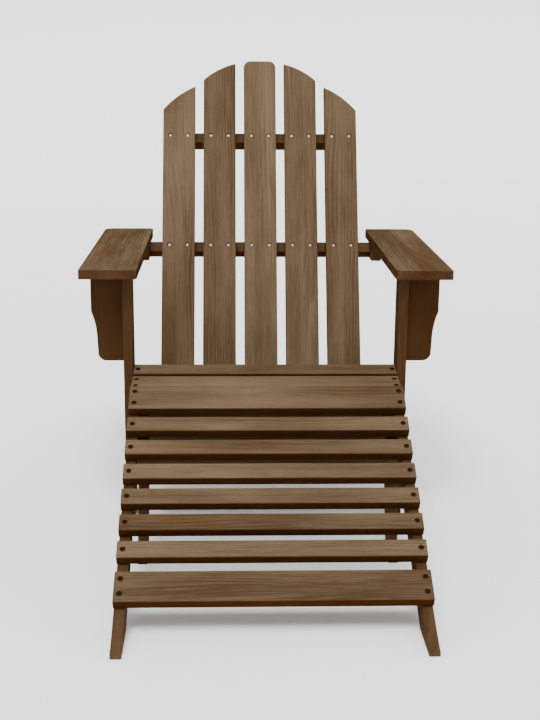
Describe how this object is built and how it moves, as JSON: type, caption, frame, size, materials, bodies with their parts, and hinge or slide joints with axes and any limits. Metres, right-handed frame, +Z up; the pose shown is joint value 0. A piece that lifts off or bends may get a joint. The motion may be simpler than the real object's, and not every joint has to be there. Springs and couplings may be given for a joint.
{
  "type": "adirondack chair",
  "caption": "Slatted wooden garden armchair with an arched back, sloping seat and broad flat arms, and a matching sloping footrest that stands in front of it.",
  "frame": {"origin": "on the ground, at the middle of the chair and its footrest together", "axes": "+X to the right seen from the front, +Y from the footrest to the back of the chair, +Z up"},
  "size_m": [0.74, 1.369, 0.9197],
  "materials": {
    "stained_wood": "satin brown stain with the grain showing",
    "dowel_wood": "bare",
    "screw_steel": "zinc plated"
  },
  "bodies": {
    "chair": {"apron_screws": "screw_steel", "arm_block_left": "stained_wood", "arm_block_right": "stained_wood", "arm_bracket_left": "stained_wood", "arm_bracket_right": "stained_wood", "arm_dowels": "dowel_wood", "arm_left": "stained_wood", "arm_right": "stained_wood", "back_rail_lower": "stained_wood", "back_rail_middle": "stained_wood", "back_rail_top": "stained_wood", "back_screws": "screw_steel", "back_slat_1": "stained_wood", "back_slat_2": "stained_wood", "back_slat_3": "stained_wood", "back_slat_4": "stained_wood", "back_slat_5": "stained_wood", "bracket_screws": "screw_steel", "front_apron": "stained_wood", "front_leg_left": "stained_wood", "front_leg_right": "stained_wood", "leg_screws": "screw_steel", "rail_end_screws": "screw_steel", "seat_screws": "screw_steel", "seat_slat_1": "stained_wood", "seat_slat_2": "stained_wood", "seat_slat_3": "stained_wood", "seat_slat_4": "stained_wood", "seat_slat_5": "stained_wood", "seat_slat_crest": "stained_wood", "seat_slat_front": "stained_wood", "seat_stringer_left": "stained_wood", "seat_stringer_right": "stained_wood"},
    "footrest": {"footrest_leg_left": "stained_wood", "footrest_leg_right": "stained_wood", "footrest_leg_screws": "screw_steel", "footrest_rail_left": "stained_wood", "footrest_rail_right": "stained_wood", "footrest_screws": "screw_steel", "footrest_slat_1": "stained_wood", "footrest_slat_2": "stained_wood", "footrest_slat_3": "stained_wood", "footrest_slat_4": "stained_wood", "footrest_slat_5": "stained_wood", "footrest_slat_6": "stained_wood", "footrest_slat_bottom": "stained_wood", "footrest_slat_top": "stained_wood"}
  },
  "joints": [
    {"name": "footrest_slide", "type": "slide", "parent": "chair", "child": "footrest", "axis": [0, -1, 0], "range_m": [0, 0.5]}
  ]
}
